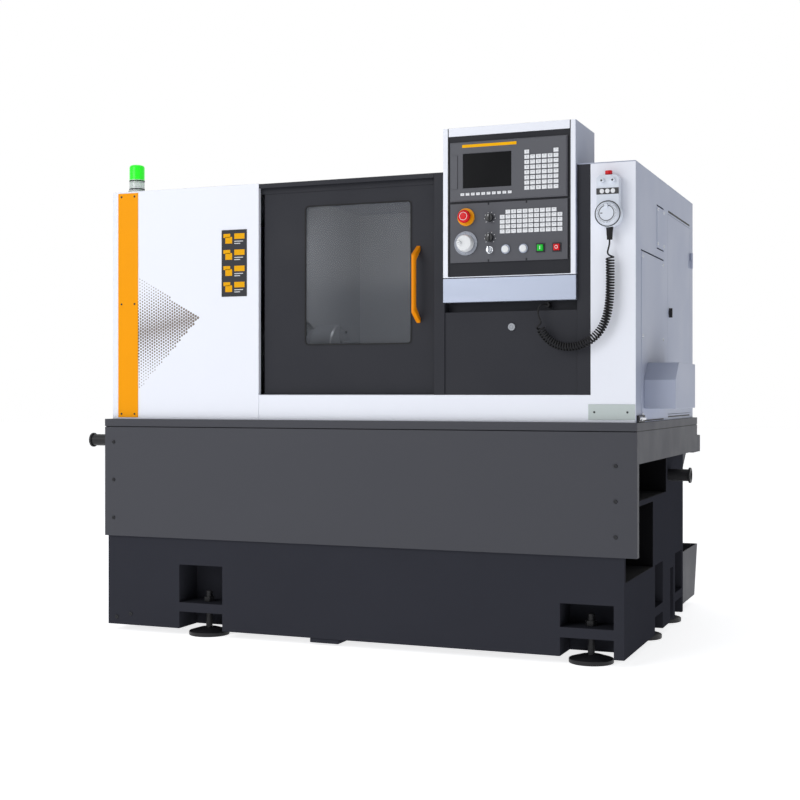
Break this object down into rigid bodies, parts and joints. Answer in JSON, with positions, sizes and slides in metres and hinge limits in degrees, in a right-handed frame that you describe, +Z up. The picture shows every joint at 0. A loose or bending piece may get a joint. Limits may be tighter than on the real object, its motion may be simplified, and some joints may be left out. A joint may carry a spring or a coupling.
{
  "type": "cnc turning lathe",
  "caption": "Enclosed slant-bed turning lathe with a sliding windowed door, control column, hand pendant, jawed chuck, tool turret and coolant tank.",
  "frame": {"origin": "on the floor under the middle of the machine's bounding box, cord left out", "axes": "+X to the operator's right along the spindle, +Y to the back, +Z up"},
  "size_m": [2.221, 1.5522, 1.8],
  "materials": {
    "charcoal": "satin powder coat",
    "cover_white": "satin powder coat",
    "side_grey": "satin powder coat",
    "strip_orange": "satin powder coat",
    "handle_orange": "satin",
    "lamp_clear": "gloss",
    "lamp_green": "gloss",
    "window_glass": "clear",
    "panel_black": "fine texture",
    "key_grey": "satin",
    "silver": "brushed",
    "steel": "ground",
    "iron": "machined and painted",
    "button_red": "gloss",
    "button_green": "gloss",
    "button_white": "satin",
    "knob_black": "satin",
    "pendant_grey": "satin",
    "rubber_black": "matte",
    "pipe_black": "satin",
    "motor_black": "satin"
  },
  "bodies": {
    "machine": {"apron": "charcoal", "base": "charcoal", "bed": "iron", "belt": "rubber_black", "canopy": "side_grey", "column_posts": "charcoal", "control_cabinet": "cover_white", "coolant_pump": "motor_black", "coolant_tank": "charcoal", "cord_curl": "rubber_black", "cord_glands": "rubber_black", "cord_tail": "rubber_black", "display_unit": "panel_black", "drain_pipes": "pipe_black", "drive_motors": "motor_black", "electrical_box": "side_grey", "front_frame": "cover_white", "headstock": "iron", "keypads": "key_grey", "lamp_base": "lamp_clear", "lamp_lens": "lamp_green", "ledge": "charcoal", "left_cover": "cover_white", "levelling_feet": "charcoal", "lower_panel": "charcoal", "motor_hood": "side_grey", "name_panel": "silver", "panel_plate": "panel_black", "pendant_body": "pendant_grey", "right_side_panel": "side_grey", "splash_guard": "side_grey", "trim_strip": "strip_orange"},
    "door": {"door_leaf": "charcoal", "door_pane": "window_glass", "door_handle": "handle_orange"},
    "spindle": {"spindle": "steel", "chuck_body": "steel"},
    "jaw_1": {"jaw_1": "steel"},
    "jaw_2": {"jaw_2": "steel"},
    "jaw_3": {"jaw_3": "steel"},
    "motor_rotor": {"motor_pulley": "steel"},
    "saddle": {"saddle": "iron"},
    "z_screw": {"z_screw": "steel"},
    "x_screw": {"x_screw": "steel"},
    "cross_slide": {"cross_slide": "iron"},
    "turret": {"turret": "steel"},
    "estop": {"estop_button": "button_red"},
    "handwheel": {"handwheel": "button_white"},
    "feed_knob": {"override_knob_feed": "knob_black"},
    "spindle_knob": {"override_knob_spindle": "knob_black"},
    "key_switch": {"key_switch": "silver"},
    "button_left": {"round_button_left": "button_white"},
    "button_right": {"round_button_right": "button_white"},
    "button_start": {"start_button": "button_green"},
    "button_stop": {"stop_button": "button_red"},
    "panel_lock": {"panel_lock": "silver"},
    "electrical_door": {"electrical_door": "side_grey"},
    "electrical_latch": {"electrical_latch": "pipe_black"},
    "pendant_dial": {"pendant_dial": "pendant_grey"},
    "pendant_stop": {"pendant_stop": "button_red"}
  },
  "joints": [
    {"name": "door_slide", "type": "slide", "parent": "machine", "child": "door", "axis": [-1, 0, 0], "range_m": [0, 0.58]},
    {"name": "spindle_spin", "type": "hinge", "parent": "machine", "child": "spindle", "pos_m": [-0.0015, -0.32385, 1.06], "axis": [1, 0, 0], "continuous": true},
    {"name": "motor_spin", "type": "hinge", "parent": "machine", "child": "motor_rotor", "pos_m": [-0.0015, 0.26115, 0.9], "axis": [1, 0, 0], "continuous": true},
    {"name": "z_slide", "type": "slide", "parent": "machine", "child": "saddle", "axis": [-1, 0, 0], "range_m": [0, 0.32]},
    {"name": "z_screw_spin", "type": "hinge", "parent": "machine", "child": "z_screw", "pos_m": [-0.0015, -0.27849, 0.90144], "axis": [1, 0, 0], "range_deg": [0, 11530]},
    {"name": "x_slide", "type": "slide", "parent": "saddle", "child": "cross_slide", "axis": [0, -0.866, -0.5], "range_m": [0, 0.17]},
    {"name": "x_screw_spin", "type": "hinge", "parent": "saddle", "child": "x_screw", "pos_m": [0.3585, -0.40975, 0.90879], "axis": [0, 0.866, 0.5], "range_deg": [0, 10210]},
    {"name": "turret_index", "type": "hinge", "parent": "cross_slide", "child": "turret", "pos_m": [-0.0015, -0.03806, 1.225], "axis": [1, 0, 0], "continuous": true},
    {"name": "estop_push", "type": "slide", "parent": "machine", "child": "estop", "axis": [0, 1, 0], "range_m": [0, 0.005], "stiffness_N_per_m": 800},
    {"name": "handwheel_turn", "type": "hinge", "parent": "machine", "child": "handwheel", "pos_m": [0.4275, -0.72715, 1.405], "axis": [0, -1, 0], "continuous": true},
    {"name": "feed_knob_turn", "type": "hinge", "parent": "machine", "child": "feed_knob", "pos_m": [0.5125, -0.72315, 1.488], "axis": [0, -1, 0], "range_deg": [-150, 150]},
    {"name": "spindle_knob_turn", "type": "hinge", "parent": "machine", "child": "spindle_knob", "pos_m": [0.5125, -0.72315, 1.4205], "axis": [0, -1, 0], "range_deg": [-150, 150]},
    {"name": "key_turn", "type": "hinge", "parent": "machine", "child": "key_switch", "pos_m": [0.5115, -0.72315, 1.38], "axis": [0, -1, 0], "range_deg": [0, 90]},
    {"name": "button_left_push", "type": "slide", "parent": "machine", "child": "button_left", "axis": [0, 1, 0], "range_m": [0, 0.003], "stiffness_N_per_m": 500},
    {"name": "button_right_push", "type": "slide", "parent": "machine", "child": "button_right", "axis": [0, 1, 0], "range_m": [0, 0.003], "stiffness_N_per_m": 500},
    {"name": "button_start_push", "type": "slide", "parent": "machine", "child": "button_start", "axis": [0, 1, 0], "range_m": [0, 0.003], "stiffness_N_per_m": 500},
    {"name": "button_stop_push", "type": "slide", "parent": "machine", "child": "button_stop", "axis": [0, 1, 0], "range_m": [0, 0.003], "stiffness_N_per_m": 500},
    {"name": "panel_lock_turn", "type": "hinge", "parent": "machine", "child": "panel_lock", "pos_m": [0.5825, -0.70015, 1.12], "axis": [0, -1, 0], "range_deg": [0, 90]},
    {"name": "electrical_door_swing", "type": "hinge", "parent": "machine", "child": "electrical_door", "pos_m": [1.0095, 0.32665, 0.95], "axis": [0, 0, 1], "range_deg": [0, 110]},
    {"name": "electrical_latch_turn", "type": "hinge", "parent": "electrical_door", "child": "electrical_latch", "pos_m": [1.0038, -0.11785, 1.19], "axis": [1, 0, 0], "range_deg": [0, 90]},
    {"name": "pendant_dial_turn", "type": "hinge", "parent": "machine", "child": "pendant_dial", "pos_m": [0.9215, -0.75115, 1.479], "axis": [0, -1, 0], "continuous": true},
    {"name": "pendant_stop_push", "type": "slide", "parent": "machine", "child": "pendant_stop", "axis": [0, 0, -1], "range_m": [0, 0.003], "stiffness_N_per_m": 500},
    {"name": "jaw_1_slide", "type": "slide", "parent": "spindle", "child": "jaw_1", "axis": [0, 0, 1], "range_m": [-0.006, 0.004]},
    {"name": "jaw_2_slide", "type": "slide", "parent": "spindle", "child": "jaw_2", "axis": [0, -0.866, -0.5], "range_m": [-0.006, 0.004]},
    {"name": "jaw_3_slide", "type": "slide", "parent": "spindle", "child": "jaw_3", "axis": [0, 0.866, -0.5], "range_m": [-0.006, 0.004]}
  ],
  "couplings": [
    {"joint": "motor_spin", "follows": "spindle_spin", "ratio": 1.25},
    {"joint": "jaw_2_slide", "follows": "jaw_1_slide", "ratio": 1},
    {"joint": "jaw_3_slide", "follows": "jaw_1_slide", "ratio": 1},
    {"joint": "z_screw_spin", "follows": "z_slide", "rad_per_m": 628.32},
    {"joint": "x_screw_spin", "follows": "x_slide", "rad_per_m": 1047.2}
  ]
}
